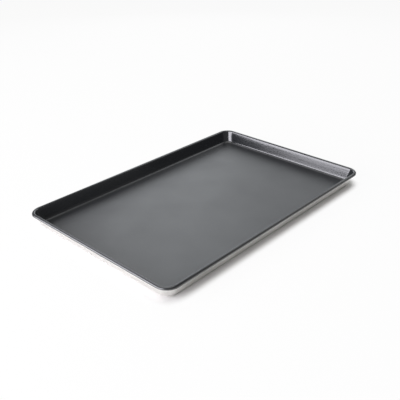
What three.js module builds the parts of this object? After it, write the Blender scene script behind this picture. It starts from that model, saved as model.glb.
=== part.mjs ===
// Shallow rectangular baking tray. One aluminium sheet is drawn to a flat floor with leaning walls,
// and its edge is rolled outwards round a hoop of steel wire. A dark non-stick film lies on the
// sheet's inner face and goes over the top of the roll, as far as its outermost line.
// Millimetres, +Z up. The origin is the centre of the underside, with X along the tray's length.
import * as THREE from "three";

// Overall size, measured over the rim
const trayLength = 600;
const trayWidth = 400;
const trayHeight = 30;

// Drawn sheet
const sheetThickness = 1;
const wallLeanDegrees = 14; // from upright
const footRadius = 6; // between floor and wall, on the sheet's inner face

// Corners, seen from above
const rimCornerRadius = 27; // along the outer edge of the rim
const floorCornerRadius = 20; // along the edge of the flat floor, in the middle of the sheet

// Rolled rim and its wire
const wireDiameter = 4.5;
const wireClearance = 0.3; // all round, between the wire and the roll
const rollMouth = 0.5; // between the rolled edge of the sheet and the wall
const wireJoint = 1; // between the two ends of the wire

// Non-stick film
const filmThickness = 0.1;
const filmClearance = 0.1; // between the film and the sheet

// Fineness of the round stretches
const cornerSteps = 8; // in each corner, seen from above
const sectionStepDegrees = 15; // at most, along the arcs of the section
const wireSides = 16;

// Sizes that follow from those above
const wallLean = THREE.MathUtils.degToRad(wallLeanDegrees);
const sectionStep = THREE.MathUtils.degToRad(sectionStepDegrees);
const footMiddleRadius = footRadius + sheetThickness / 2;
const rollInnerRadius = wireDiameter / 2 + wireClearance;
const rollMiddleRadius = rollInnerRadius + sheetThickness / 2;
const rollOuterRadius = rollInnerRadius + sheetThickness;
const beadRadius = rollOuterRadius + filmClearance + filmThickness;

// Centres of the section's two arcs. The first number is the distance in from the rim's outer edge
// and the second is the height. The straight wall touches both arcs.
const rollCentre = new THREE.Vector2(beadRadius, trayHeight - beadRadius);
const footHeight = sheetThickness / 2 + footMiddleRadius;
const wallRise = (rollCentre.y - footHeight) * Math.sin(wallLean);
const footInset = rollCentre.x + (rollMiddleRadius + footMiddleRadius + wallRise) / Math.cos(wallLean);
const footCentre = new THREE.Vector2(footInset, footHeight);

// The roll goes on until its outer corner is one mouth away from the outer face of the wall
const rollEnd = wallLean + 2 * Math.PI - Math.acos((rollInnerRadius - rollMouth) / rollOuterRadius);

// Corner radius in the middle of the sheet: over the roll it follows the rim, and down the wall it
// goes over to the floor's own radius.
const rollStartInset = rollCentre.x + rollMiddleRadius * Math.cos(wallLean);

function rollCornerRadius(inset) {
  return rimCornerRadius - inset;
}

function wallCornerRadius(inset) {
  const share = (inset - rollStartInset) / (footInset - rollStartInset);
  return THREE.MathUtils.lerp(rollCornerRadius(rollStartInset), floorCornerRadius, share);
}

// A station on an arc in the middle of the sheet. The normal points to the coated face, so it runs
// along the arc's radius on the roll and against it in the foot, where the radius is negative.
function station({ centre, radius, cornerRadiusAt }, angle) {
  const normal = new THREE.Vector2(Math.cos(angle), Math.sin(angle));
  const place = centre.clone().addScaledVector(normal, radius);
  return { place, normal, cornerRadius: cornerRadiusAt(place.x) };
}

// Stations along an arc that passes the given angles, at even steps between one and the next
function arcStations(arc, angles) {
  const stations = [station(arc, angles[0])];
  for (let stretch = 1; stretch < angles.length; stretch++) {
    const from = angles[stretch - 1];
    const to = angles[stretch];
    const steps = Math.ceil(Math.abs(to - from) / sectionStep);
    for (let step = 1; step <= steps; step++) {
      stations.push(station(arc, THREE.MathUtils.lerp(from, to, step / steps)));
    }
  }
  return stations;
}

// The coated stretch of the section goes from the floor's edge up the foot to the wall, then over the
// roll's top to its outermost line. The sheet itself goes on, bare, to the rolled edge.
const upright = Math.PI / 2;
const outermost = 2 * upright;
const footArc = { centre: footCentre, radius: -footMiddleRadius, cornerRadiusAt: wallCornerRadius };
const rollArc = { centre: rollCentre, radius: rollMiddleRadius, cornerRadiusAt: rollCornerRadius };
const coatedSection = [
  ...arcStations(footArc, [upright, wallLean]),
  ...arcStations(rollArc, [wallLean, upright, outermost]),
];
const bareSection = arcStations(rollArc, [outermost, rollEnd]).slice(1);
const sheetSection = [...coatedSection, ...bareSection];

// Points round a rounded rectangle, counter-clockwise from above, with the turn of each one's normal
function planPoints(inset, cornerRadius) {
  const cornerSigns = [[1, 1], [-1, 1], [-1, -1], [1, -1]];
  const points = [];
  cornerSigns.forEach(([signX, signY], corner) => {
    const centreX = signX * (trayLength / 2 - inset - cornerRadius);
    const centreY = signY * (trayWidth / 2 - inset - cornerRadius);
    for (let step = 0; step <= cornerSteps; step++) {
      const turn = (corner + step / cornerSteps) * upright;
      const x = centreX + cornerRadius * Math.cos(turn);
      const y = centreY + cornerRadius * Math.sin(turn);
      points.push({ x, y, turn });
    }
  });
  return points;
}

// One skin of the sheet or film: a section's rings at a distance from the middle of the sheet
function skinRings(section, distance) {
  return section.map(({ place, normal, cornerRadius }) => {
    const { x: inset, y: height } = place.clone().addScaledVector(normal, distance);
    const points = planPoints(inset, cornerRadius - distance * normal.x);
    return points.map(({ x, y }) => new THREE.Vector3(x, y, height));
  });
}

// Joins rings of as many points each to one closed body, with a flat face inside the first ring and
// inside the last. The first ring runs counter-clockwise, seen from outside the body.
function loft(rings) {
  const count = rings[0].length;
  const corners = rings.flat();
  const triangles = [];
  for (let ring = 0; ring + 1 < rings.length; ring++) {
    for (let point = 0; point < count; point++) {
      const next = (point + 1) % count;
      const here = ring * count;
      const beyond = here + count;
      triangles.push(here + point, beyond + point, beyond + next);
      triangles.push(here + point, beyond + next, here + next);
    }
  }
  const lastRing = (rings.length - 1) * count;
  const firstCentre = corners.length;
  const lastCentre = firstCentre + 1;
  corners.push(middleOf(rings[0]), middleOf(rings.at(-1)));
  for (let point = 0; point < count; point++) {
    const next = (point + 1) % count;
    triangles.push(firstCentre, point, next);
    triangles.push(lastCentre, lastRing + next, lastRing + point);
  }
  const geometry = new THREE.BufferGeometry().setFromPoints(corners);
  geometry.setIndex(triangles);
  geometry.computeVertexNormals();
  return geometry;
}

function middleOf(points) {
  const sum = points.reduce((total, point) => total.add(point), new THREE.Vector3());
  return sum.divideScalar(points.length);
}

// A layer along a section, between two distances from the middle of the sheet
function layer(section, coatedSide, bareSide) {
  return loft([...skinRings(section, coatedSide), ...skinRings(section, bareSide).reverse()]);
}

function panBody() {
  const material = new THREE.MeshStandardMaterial({ color: 0xc9c9c6, roughness: 0.35, metalness: 1 });
  const geometry = layer(sheetSection, sheetThickness / 2, -sheetThickness / 2);
  return namedMesh("pan_body", geometry, material);
}

function nonstickCoating() {
  const bareSide = sheetThickness / 2 + filmClearance;
  const material = new THREE.MeshStandardMaterial({ color: 0x222325, roughness: 0.35, metalness: 0 });
  const geometry = layer(coatedSection, bareSide + filmThickness, bareSide);
  return namedMesh("nonstick_coating", geometry, material);
}

// The wire's path starts and ends at its joint, in the middle of a long side
function wirePath() {
  const corners = planPoints(rollCentre.x, rollCornerRadius(rollCentre.x));
  const jointY = trayWidth / 2 - rollCentre.x;
  const jointTurn = upright;
  const firstCorners = corners.slice(cornerSteps + 1);
  const lastCorner = corners.slice(0, cornerSteps + 1);
  return [
    { x: -wireJoint / 2, y: jointY, turn: jointTurn },
    ...firstCorners,
    ...lastCorner,
    { x: wireJoint / 2, y: jointY, turn: jointTurn },
  ];
}

function rimWire() {
  const sections = wirePath().map(({ x, y, turn }) => {
    const section = [];
    for (let side = 0; side < wireSides; side++) {
      const angle = (side / wireSides) * 2 * Math.PI;
      const out = (wireDiameter / 2) * Math.cos(angle);
      const up = (wireDiameter / 2) * Math.sin(angle);
      const pointX = x + out * Math.cos(turn);
      const pointY = y + out * Math.sin(turn);
      section.push(new THREE.Vector3(pointX, pointY, rollCentre.y + up));
    }
    return section;
  });
  const material = new THREE.MeshStandardMaterial({ color: 0x9a9c9e, roughness: 0.45, metalness: 1 });
  return namedMesh("rim_wire", loft(sections), material);
}

function namedMesh(name, geometry, material) {
  const mesh = new THREE.Mesh(geometry, material);
  mesh.name = name;
  return mesh;
}

const tray = new THREE.Group();
tray.add(panBody(), rimWire(), nonstickCoating());

export default tray;
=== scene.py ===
"""Shallow baking tray on a pale floor: drawn aluminium, a wired rim and a dark lining."""

import math

import bmesh
import bpy
from mathutils import Matrix, Vector


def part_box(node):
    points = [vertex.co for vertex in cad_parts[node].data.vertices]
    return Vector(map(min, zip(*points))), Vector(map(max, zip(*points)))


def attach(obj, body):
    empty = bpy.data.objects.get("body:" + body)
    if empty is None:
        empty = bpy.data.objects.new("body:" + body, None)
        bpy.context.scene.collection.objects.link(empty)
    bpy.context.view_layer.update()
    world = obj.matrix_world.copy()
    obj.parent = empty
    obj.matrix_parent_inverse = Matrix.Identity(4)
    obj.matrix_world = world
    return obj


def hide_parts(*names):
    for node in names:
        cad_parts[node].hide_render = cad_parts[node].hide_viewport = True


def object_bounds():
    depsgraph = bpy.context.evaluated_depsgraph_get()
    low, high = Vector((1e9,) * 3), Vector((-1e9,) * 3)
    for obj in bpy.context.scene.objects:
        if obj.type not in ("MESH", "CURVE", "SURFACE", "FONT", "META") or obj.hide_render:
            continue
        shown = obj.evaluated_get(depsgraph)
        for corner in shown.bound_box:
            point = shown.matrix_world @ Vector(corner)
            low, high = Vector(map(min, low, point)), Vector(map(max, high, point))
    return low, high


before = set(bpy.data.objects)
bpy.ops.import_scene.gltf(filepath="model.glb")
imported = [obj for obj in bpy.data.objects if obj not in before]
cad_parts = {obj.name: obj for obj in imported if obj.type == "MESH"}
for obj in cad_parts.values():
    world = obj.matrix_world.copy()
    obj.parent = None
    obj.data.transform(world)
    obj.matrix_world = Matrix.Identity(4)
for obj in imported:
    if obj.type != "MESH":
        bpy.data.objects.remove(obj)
cad_low, cad_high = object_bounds()

MM = 0.001

# Overall size and layers, from the frame
tray_length = cad_high.x - cad_low.x
tray_width = cad_high.y - cad_low.y
tray_height = cad_high.z - cad_low.z
wire_low, wire_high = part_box("rim_wire")
wire_radius = (wire_high.z - wire_low.z) / 2
lining_depth = cad_high.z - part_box("pan_body")[1].z  # from the sheet's face to the lining's face

# Drawn sheet
sheet_thickness = 1 * MM
wall_lean = math.radians(14)  # from upright
foot_radius = 6 * MM  # between floor and wall, on the sheet's inner face
rim_corner_radius = 27 * MM  # seen from above, along the rim's outer edge
floor_corner_radius = 20 * MM  # seen from above, along the edge of the flat floor

# Rolled rim, its wire and the lining
wire_clearance = 0.3 * MM
roll_mouth = 0.5 * MM  # between the rolled edge and the wall
wire_joint = 1 * MM  # between the two ends of the wire
lining_thickness = lining_depth / 2
# How far the lining goes round the roll, past its outermost line. On the long sides its further
# reach is painted shade: dark film on the roll's outer flank where bare metal mirrors the shaded
# floor
short_side_overlap = math.radians(2)
long_side_shade_overlap = math.radians(25)

# Fineness of the meshes
CORNER_STEPS = 24
LONG_SIDE_STEPS = 30  # even, so that a step falls on the wire's joint
SHORT_SIDE_STEPS = 20
ARC_STEP = math.radians(6)
WALL_STEPS = 5
FLOOR_SHARES = (0, 0.2, 0.4, 0.6, 0.75, 0.87, 0.95, 0.99)  # of the way from its middle to its edge
FLOOR_MIDDLE_WIDTH = 20 * MM  # of the small rectangle that the floor's rings start from
OVERLAP_STEPS = 4
WIRE_SIDES = 32
SHARP_ANGLE = math.radians(40)

# Arcs of the section: distance in from the rim's outer edge, and height
UPRIGHT = math.pi / 2
OUTERMOST = math.pi
foot_middle_radius = foot_radius + sheet_thickness / 2
roll_inner_radius = wire_radius + wire_clearance
roll_middle_radius = roll_inner_radius + sheet_thickness / 2
roll_outer_radius = roll_inner_radius + sheet_thickness
bead_radius = roll_outer_radius + lining_depth
roll_centre = Vector((bead_radius, tray_height - bead_radius))
roll_end = wall_lean + math.tau - math.acos((roll_inner_radius - roll_mouth) / roll_outer_radius)
roll_start_inset = roll_centre.x + roll_middle_radius * math.cos(wall_lean)
foot_height = sheet_thickness / 2 + foot_middle_radius
wall_rise = (roll_centre.y - foot_height) * math.sin(wall_lean)
wall_reach = (roll_middle_radius + foot_middle_radius + wall_rise) / math.cos(wall_lean)
foot_inset = roll_centre.x + wall_reach
foot_centre = Vector((foot_inset, foot_height))
floor_middle_inset = (tray_width - FLOOR_MIDDLE_WIDTH) / 2


def lerp(start, end, share):
    return start + (end - start) * share


def roll_corner_radius(inset):
    return rim_corner_radius - inset


def wall_corner_radius(inset):
    share = (inset - roll_start_inset) / (foot_inset - roll_start_inset)
    return lerp(roll_corner_radius(roll_start_inset), floor_corner_radius, share)


# Each arc: its centre, its radius in the middle of the sheet, and the corner radius at an inset
foot_arc = (foot_centre, -foot_middle_radius, wall_corner_radius)
roll_arc = (roll_centre, roll_middle_radius, roll_corner_radius)


def arc_stations(arc, start, end):
    """Stations along an arc: place, normal to the lined face, and corner radius."""
    centre, radius, corner_radius_at = arc
    steps = math.ceil(abs(end - start) / ARC_STEP)
    stations = []
    for step in range(steps + 1):
        angle = lerp(start, end, step / steps)
        normal = Vector((math.cos(angle), math.sin(angle)))
        place = centre + radius * normal
        stations.append((place, normal, corner_radius_at(place.x)))
    return stations


def floor_stations():
    """Stations on the flat floor, from a small rectangle in its middle out to its edge."""
    up = Vector((0, 1))
    stations = []
    for share in FLOOR_SHARES:
        place = Vector((lerp(floor_middle_inset, foot_inset, share), sheet_thickness / 2))
        corner_radius = lerp(floor_corner_radius / CORNER_STEPS, floor_corner_radius, share)
        stations.append((place, up, corner_radius))
    return stations


def wall_stations(low, high):
    """Stations on the straight wall between the foot and the roll."""
    stations = []
    for step in range(1, WALL_STEPS):
        place = low[0].lerp(high[0], step / WALL_STEPS)
        stations.append((place, low[1], wall_corner_radius(place.x)))
    return stations


def sheet_section(last_angle):
    """Stations from the floor's middle up the wall and round the roll, up to an angle on it."""
    foot = arc_stations(foot_arc, UPRIGHT, wall_lean)
    crest = arc_stations(roll_arc, wall_lean, UPRIGHT)
    flank = arc_stations(roll_arc, UPRIGHT, OUTERMOST)
    wall = wall_stations(foot[-1], crest[0])
    section = floor_stations() + foot + wall + crest + flank[1:]
    if last_angle > OUTERMOST:
        section += arc_stations(roll_arc, OUTERMOST, last_angle)[1:]
    return section


def plan_ring(inset, corner_radius):
    """Points round a rounded rectangle, counter-clockwise, and the turns of their normals."""
    half_x = tray_length / 2 - inset - corner_radius
    half_y = tray_width / 2 - inset - corner_radius
    centres = [Vector((x, y)) for x, y in (
        (half_x, half_y),
        (-half_x, half_y),
        (-half_x, -half_y),
        (half_x, -half_y),
    )]
    ring = []
    for corner, centre in enumerate(centres):
        for step in range(CORNER_STEPS + 1):
            turn = (corner + step / CORNER_STEPS) * math.pi / 2
            normal = Vector((math.cos(turn), math.sin(turn)))
            ring.append((centre + corner_radius * normal, turn))
        side_start = ring[-1][0]
        side_end = centres[(corner + 1) % len(centres)] + corner_radius * normal
        side_steps = LONG_SIDE_STEPS if corner % 2 == 0 else SHORT_SIDE_STEPS
        for step in range(1, side_steps):
            ring.append((side_start.lerp(side_end, step / side_steps), turn))
    return ring


def skin_rings(section, distance):
    """The section's rings at a distance from the middle of the sheet."""
    rings = []
    for place, normal, corner_radius in section:
        inset, height = place + distance * normal
        ring = plan_ring(inset, corner_radius - distance * normal.x)
        rings.append([Vector((point.x, point.y, height)) for point, _ in ring])
    return rings


def loft(name, rings):
    """Joins rings of as many points each to one closed, smooth mesh object with capped ends."""
    count = len(rings[0])
    points = [point for ring in rings for point in ring]
    faces = [tuple(range(count)), tuple(range(len(points) - count, len(points)))]
    for ring in range(len(rings) - 1):
        here = ring * count
        beyond = here + count
        for point in range(count):
            after = (point + 1) % count
            faces.append((here + point, beyond + point, beyond + after, here + after))
    mesh = bpy.data.meshes.new(name)
    mesh.from_pydata(points, [], faces)
    skin = bmesh.new()
    skin.from_mesh(mesh)
    bmesh.ops.recalc_face_normals(skin, faces=skin.faces)
    skin.to_mesh(mesh)
    skin.free()
    mesh.polygons.foreach_set("use_smooth", [True] * len(mesh.polygons))
    mesh.set_sharp_from_angle(angle=SHARP_ANGLE)
    piece = bpy.data.objects.new(name, mesh)
    bpy.context.scene.collection.objects.link(piece)
    return piece


def roll_path():
    """Points along the middle of the roll, with the turns of their normals."""
    return plan_ring(roll_centre.x, roll_corner_radius(roll_centre.x))


def round_roll(point, turn, radius, angle):
    """The place at an angle round a point of the roll's path. Zero points inwards."""
    outward = Vector((math.cos(turn), math.sin(turn)))
    place = point - radius * math.cos(angle) * outward
    return Vector((place.x, place.y, roll_centre.y + radius * math.sin(angle)))


def overlap_rings(distance):
    """The film's rings past the roll's outermost line, which reach furthest on the long sides,
    where the extra film is painted shade.
    """
    radius = roll_middle_radius + distance
    rings = []
    for step in range(1, OVERLAP_STEPS + 1):
        ring = []
        for point, turn in roll_path():
            # the long sides' further reach is painted shade on the roll's outer flank
            overlap = lerp(short_side_overlap, long_side_shade_overlap, math.sin(turn) ** 2)
            angle = OUTERMOST + overlap * step / OVERLAP_STEPS
            ring.append(round_roll(point, turn, radius, angle))
        rings.append(ring)
    return rings


def sheet(name, lined_side, bare_side):
    """The whole sheet, between two distances from its middle."""
    section = sheet_section(roll_end)
    return loft(name, skin_rings(section, lined_side) + skin_rings(section, bare_side)[::-1])


def film(name, face, back):
    """The film on the sheet's lined side, between two distances from the sheet's middle."""
    section = sheet_section(OUTERMOST)
    face_rings = skin_rings(section, face) + overlap_rings(face)
    back_rings = skin_rings(section, back) + overlap_rings(back)
    return loft(name, face_rings + back_rings[::-1])


def wire_hoop(name):
    """The wire in the roll, once round from its joint in the middle of a long side."""
    ring = roll_path()
    middle = CORNER_STEPS + LONG_SIDE_STEPS // 2
    joint, joint_turn = ring[middle]
    half_joint = Vector((wire_joint / 2, 0))
    first_end = (joint - half_joint, joint_turn)
    last_end = (joint + half_joint, joint_turn)
    sections = []
    for point, turn in (first_end, *ring[middle + 1:], *ring[:middle], last_end):
        angles = [side / WIRE_SIDES * math.tau for side in range(WIRE_SIDES)]
        sections.append([round_roll(point, turn, wire_radius, angle) for angle in angles])
    return loft(name, sections)


# Nodes
NOISE_RANGE = (0.3, 0.7)  # where nearly all of a noise's values lie
NOISE_DETAIL = 3


def add_node(tree, kind, inputs=None, **settings):
    """A node with its settings made and its inputs set to values or linked to sockets."""
    node = tree.nodes.new(kind)
    for name, value in settings.items():
        setattr(node, name, value)
    for name, value in (inputs or {}).items():
        if isinstance(value, bpy.types.NodeSocket):
            tree.links.new(value, node.inputs[name])
        else:
            node.inputs[name].default_value = value
    return node


def new_material(name, **shader_values):
    """A material with values on its shader. An underscore stands for a space in a socket's name."""
    material = bpy.data.materials.new(name)
    material.use_nodes = True
    tree = material.node_tree
    shader = tree.nodes["Principled BSDF"]
    for socket, value in shader_values.items():
        shader.inputs[socket.replace("_", " ")].default_value = value
    return material, tree, shader


def piece_place(tree):
    """The place on the piece, in metres."""
    return add_node(tree, "ShaderNodeTexCoord").outputs["Object"]


def noise(tree, place, size):
    """Soft noise in patches of a size."""
    inputs = {"Vector": place, "Scale": 1 / size, "Detail": NOISE_DETAIL}
    return add_node(tree, "ShaderNodeTexNoise", inputs).outputs[0]


def streaks(tree, place, sizes):
    """Noise in patches that have a size of their own along each axis."""
    scale = [1 / size for size in sizes]
    drawn_out = add_node(tree, "ShaderNodeMapping", {"Vector": place, "Scale": scale}).outputs[0]
    return noise(tree, drawn_out, 1)


def cells(tree, place, size):
    """A random colour in each cell of a size."""
    inputs = {"Vector": place, "Scale": 1 / size}
    return add_node(tree, "ShaderNodeTexVoronoi", inputs).outputs["Color"]


def ramp(tree, value, low, high, low_colour, high_colour):
    """A colour between two, as a value goes from low to high."""
    node = add_node(tree, "ShaderNodeValToRGB", {"Fac": value})
    stops = ((low, low_colour), (high, high_colour))
    for element, (position, colour) in zip(node.color_ramp.elements, stops):
        element.position = position
        element.color = (*colour, 1)
    return node.outputs[0]


def span(tree, value, low, high, to_low, to_high):
    """A value between two, as another goes from low to high."""
    inputs = {
        "Value": value,
        "From Min": low,
        "From Max": high,
        "To Min": to_low,
        "To Max": to_high,
    }
    return add_node(tree, "ShaderNodeMapRange", inputs).outputs[0]


def combine(tree, operation, first, second):
    return add_node(tree, "ShaderNodeMath", {0: first, 1: second}, operation=operation).outputs[0]


def bump(tree, height, depth):
    return add_node(tree, "ShaderNodeBump", {"Height": height, "Distance": depth}).outputs[0]


# Non-stick film
FILM_COLOUR = (0.0185, 0.020, 0.022)
FLECK_COLOUR = (0.060, 0.062, 0.065)
FLECK_RANGE = (0.80, 0.97)  # cells below are plain film, and cells above are full flecks
FLECK_SIZE = 0.5 * MM
FILM_IOR = 1.8
MATT_ROUGHNESS = 0.37  # on the flat floor
MATT_SPREAD = 0.03
IRONED_ROUGHNESS = 0.17  # on the drawn walls
IRONED_SPREAD = 0.02
MATT_UP_TO = 1.5 * MM  # height above the underside
IRONED_FROM = 5 * MM
CLOUD_SIZE = 70 * MM
PEEL_SIZE = 2.5 * MM
PEEL_DEPTH = 0.03 * MM
IRONED_PEEL_DEPTH = 0.003 * MM
LINE_SIZES = (160 * MM, 160 * MM, 9 * MM)  # level lines that the draw leaves along the walls
LINE_DEPTH = 0.1 * MM


def lining_material():
    """Baked film: matt with a fine peel on the floor, and ironed smoother on the walls."""
    material, tree, shader = new_material("nonstick_film", IOR=FILM_IOR)
    place = piece_place(tree)
    fleck = cells(tree, place, FLECK_SIZE)
    colour = ramp(tree, fleck, *FLECK_RANGE, FILM_COLOUR, FLECK_COLOUR)
    tree.links.new(colour, shader.inputs["Base Color"])
    cloud = noise(tree, place, CLOUD_SIZE)
    matt_ends = (MATT_ROUGHNESS - MATT_SPREAD, MATT_ROUGHNESS + MATT_SPREAD)
    ironed_ends = (IRONED_ROUGHNESS - IRONED_SPREAD, IRONED_ROUGHNESS + IRONED_SPREAD)
    matt = span(tree, cloud, *NOISE_RANGE, *matt_ends)
    ironed = span(tree, cloud, *NOISE_RANGE, *ironed_ends)
    height = add_node(tree, "ShaderNodeSeparateXYZ", {0: place}).outputs["Z"]
    drawn = span(tree, height, MATT_UP_TO, IRONED_FROM, 0, 1)
    inputs = {"Factor": drawn, "A": matt, "B": ironed}
    roughness = add_node(tree, "ShaderNodeMix", inputs).outputs[0]
    tree.links.new(roughness, shader.inputs["Roughness"])
    peel_depth = span(tree, drawn, 0, 1, PEEL_DEPTH, IRONED_PEEL_DEPTH)
    peel = combine(tree, "MULTIPLY", noise(tree, place, PEEL_SIZE), peel_depth)
    line_depth = span(tree, drawn, 0, 1, 0, LINE_DEPTH)
    lines = combine(tree, "MULTIPLY", streaks(tree, place, LINE_SIZES), line_depth)
    marks = bump(tree, combine(tree, "ADD", peel, lines), 1)
    tree.links.new(marks, shader.inputs["Normal"])
    return material


# Bare aluminium
DULL_ALUMINIUM = (0.74, 0.73, 0.71)
BRIGHT_ALUMINIUM = (0.83, 0.82, 0.80)
ALUMINIUM_ROUGHNESS = (0.28, 0.40)
GRAIN_SIZES = (83 * MM, 1.1 * MM, 1.1 * MM)  # rolled in along the length
GRAIN_DEPTH = 0.004 * MM
DRAG_SIZES = (2 * MM, 2 * MM, 40 * MM)  # up the walls
DRAG_DEPTH = 0.006 * MM
SHINE_SIZE = 55 * MM


def aluminium_material():
    """Rolled sheet: grain along its length, drag marks up the walls and a soft uneven shine."""
    material, tree, shader = new_material("bare_aluminium", Metallic=1)
    place = piece_place(tree)
    grain = streaks(tree, place, GRAIN_SIZES)
    colour = ramp(tree, grain, *NOISE_RANGE, DULL_ALUMINIUM, BRIGHT_ALUMINIUM)
    tree.links.new(colour, shader.inputs["Base Color"])
    shine = noise(tree, place, SHINE_SIZE)
    roughness = span(tree, shine, *NOISE_RANGE, *ALUMINIUM_ROUGHNESS)
    tree.links.new(roughness, shader.inputs["Roughness"])
    drag = streaks(tree, place, DRAG_SIZES)
    grain_height = combine(tree, "MULTIPLY", grain, GRAIN_DEPTH)
    drag_height = combine(tree, "MULTIPLY", drag, DRAG_DEPTH)
    marks = bump(tree, combine(tree, "ADD", grain_height, drag_height), 1)
    tree.links.new(marks, shader.inputs["Normal"])
    return material


# Wire
DULL_ZINC = (0.50, 0.51, 0.52)
BRIGHT_ZINC = (0.66, 0.67, 0.68)
ZINC_ROUGHNESS = (0.40, 0.52)
SPANGLE_SIZE = 3 * MM


def steel_material():
    """Galvanised wire with a grey zinc spangle."""
    material, tree, shader = new_material("wire_steel", Metallic=1)
    spangle = cells(tree, piece_place(tree), SPANGLE_SIZE)
    tree.links.new(ramp(tree, spangle, 0, 1, DULL_ZINC, BRIGHT_ZINC), shader.inputs["Base Color"])
    tree.links.new(span(tree, spangle, 0, 1, *ZINC_ROUGHNESS), shader.inputs["Roughness"])
    return material


# The tray
half_sheet = sheet_thickness / 2
lining_face = half_sheet + lining_depth
lining_back = lining_face - lining_thickness
shell = sheet("tray_shell", half_sheet, -half_sheet)
lining = film("nonstick_lining", lining_face, lining_back)
hoop = wire_hoop("rim_wire_hoop")
for piece, node, slot, material in (
    (shell, "pan_body", "bare_aluminium", aluminium_material()),
    (lining, "nonstick_coating", "nonstick_film", lining_material()),
    (hoop, "rim_wire", "wire_steel", steel_material()),
):
    piece.data.materials.append(material)
    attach(piece, "root")
    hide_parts(node)

# Floor
FLOOR_RADIUS = 40
FLOOR_SIDES = 96
FLOOR_DROP = 0.2 * MM  # below the tray's underside, so that the two don't share a plane
FLOOR_COLOUR = (0.86, 0.85, 0.825)
OPEN_GLOW = 0.93  # share of plain white in the open floor, as it is seen
SHADOW_GLOW = 0  # the same share close under the tray's walls
SHADOW_REACH = 30 * MM
SHADOW_RANGE = (0.5, 0.8)  # of the sky over the floor, from close to the tray to the open


def floor_material():
    """Pale floor that camera, metal and glass see as white, with a shadow close to the tray."""
    values = {"Base_Color": (*FLOOR_COLOUR, 1), "Roughness": 1, "Specular_IOR_Level": 0}
    material, tree, shader = new_material("floor", **values)
    rays = add_node(tree, "ShaderNodeLightPath").outputs
    seen = combine(tree, "MAXIMUM", rays["Is Camera Ray"], rays["Is Glossy Ray"])
    seen = combine(tree, "MAXIMUM", seen, rays["Is Transmission Ray"])
    sky = add_node(tree, "ShaderNodeAmbientOcclusion", {"Distance": SHADOW_REACH}).outputs["AO"]
    glow = span(tree, sky, *SHADOW_RANGE, SHADOW_GLOW, OPEN_GLOW)
    white = add_node(tree, "ShaderNodeEmission").outputs[0]
    inputs = {0: combine(tree, "MULTIPLY", seen, glow), 1: shader.outputs[0], 2: white}
    surface = add_node(tree, "ShaderNodeMixShader", inputs).outputs[0]
    tree.links.new(surface, tree.nodes["Material Output"].inputs["Surface"])
    return material


def make_floor():
    mesh = bpy.data.meshes.new("floor")
    disc = bmesh.new()
    bmesh.ops.create_circle(disc, cap_ends=True, radius=FLOOR_RADIUS, segments=FLOOR_SIDES)
    disc.to_mesh(mesh)
    disc.free()
    mesh.materials.append(floor_material())
    floor = bpy.data.objects.new("floor", mesh)
    floor.location.z = -FLOOR_DROP
    bpy.context.scene.collection.objects.link(floor)


make_floor()

# Light
ROOM_LIGHT = 0.15  # what the dim room gives from all sides
PANEL_FACTOR = 4  # watts per square metre of a panel, for one unit of its brightness
COOL = (1.01, 1.0, 1.075)
COOL_GREEN = (0.96, 1.0, 1.035)
PALE_GREEN = (0.97, 1.0, 1.02)
WHITE = (1, 1, 1)
# Upright panels: azimuth in degrees, distance, width, lowest and highest edge, brightness, colour
UPRIGHT_PANELS = {
    "left_panel": (166, 1.9, 3.0, 0.02, 1.2, 5.0, COOL),
    "side_panel": (86, 2.2, 1.7, 1.7, 3.2, 1.0, COOL),
    "back_panel": (52, 2.2, 1.0, 0.35, 2.6, 1.2, COOL_GREEN),
    "back_right_panel": (28, 2.2, 0.9, 0.35, 3.3, 0.72, COOL_GREEN),
    "right_panel": (-10, 2.2, 1.6, 1.1, 3.3, 0.9, PALE_GREEN),
}
CEILING_PLACE = Vector((-0.4, 0.2, 2.4))
CEILING_SIDE = 2.2
CEILING_BRIGHTNESS = 1.1


def make_world():
    world = bpy.data.worlds.new("studio")
    world.use_nodes = True
    background = world.node_tree.nodes["Background"]
    background.inputs["Color"].default_value = (1, 1, 1, 1)
    background.inputs["Strength"].default_value = ROOM_LIGHT
    bpy.context.scene.world = world


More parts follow.
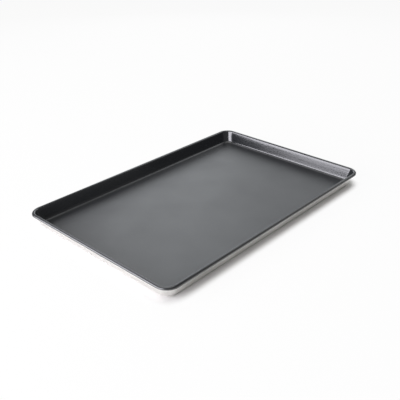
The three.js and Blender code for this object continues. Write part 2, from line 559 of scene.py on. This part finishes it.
def hang_panel(name, place, aim, width, height, brightness, colour):
    """A soft panel that shines along its aim and that the camera doesn't see."""
    lamp = bpy.data.lights.new(name, "AREA")
    lamp.shape = "RECTANGLE"
    lamp.size, lamp.size_y = width, height
    lamp.energy = brightness * PANEL_FACTOR * width * height
    lamp.color = colour
    panel = bpy.data.objects.new(name, lamp)
    panel.location = place
    panel.rotation_euler = aim.to_track_quat("-Z", "Y").to_euler()
    panel.visible_camera = False
    bpy.context.scene.collection.objects.link(panel)


def make_upright_panel(name, azimuth, distance, width, low, high, brightness, colour):
    """A panel that stands away from the tray and faces it."""
    turn = math.radians(azimuth)
    away = Vector((math.cos(turn), math.sin(turn), 0))
    place = away * distance + Vector((0, 0, (low + high) / 2))
    hang_panel(name, place, -away, width, high - low, brightness, colour)


def make_ceiling_panel():
    down = Vector((0, 0, -1))
    sides = (CEILING_SIDE, CEILING_SIDE)
    hang_panel("ceiling_panel", CEILING_PLACE, down, *sides, CEILING_BRIGHTNESS, WHITE)


make_world()
for panel_name, panel_values in UPRIGHT_PANELS.items():
    make_upright_panel(panel_name, *panel_values)
make_ceiling_panel()

# Camera
CAMERA_PLACE = Vector((-0.80125, -0.76346, 0.59017))
CAMERA_AZIMUTH = math.radians(-48.1)
CAMERA_ELEVATION = math.radians(27.88)
CAMERA_ROLL = math.radians(-0.4)
CAMERA_LENS = 52.97
CAMERA_SENSOR = 36
CAMERA_SHIFT = -0.05


def make_camera():
    camera = bpy.data.objects.new("camera", bpy.data.cameras.new("camera"))
    camera.data.lens = CAMERA_LENS
    camera.data.sensor_width = CAMERA_SENSOR
    camera.data.shift_x = CAMERA_SHIFT
    level_back = Vector((math.sin(CAMERA_AZIMUTH), -math.cos(CAMERA_AZIMUTH), 0))
    rise = Vector((0, 0, math.sin(CAMERA_ELEVATION)))
    back = math.cos(CAMERA_ELEVATION) * level_back + rise
    right = Vector((math.cos(CAMERA_AZIMUTH), math.sin(CAMERA_AZIMUTH), 0))
    up = back.cross(right)
    turned_right = math.cos(CAMERA_ROLL) * right + math.sin(CAMERA_ROLL) * up
    turned_up = math.cos(CAMERA_ROLL) * up - math.sin(CAMERA_ROLL) * right
    axes = Matrix((turned_right, turned_up, back)).transposed()
    camera.matrix_world = Matrix.Translation(CAMERA_PLACE) @ axes.to_4x4()
    bpy.context.scene.collection.objects.link(camera)
    bpy.context.scene.camera = camera


make_camera()
bpy.context.scene.view_settings.view_transform = "Standard"
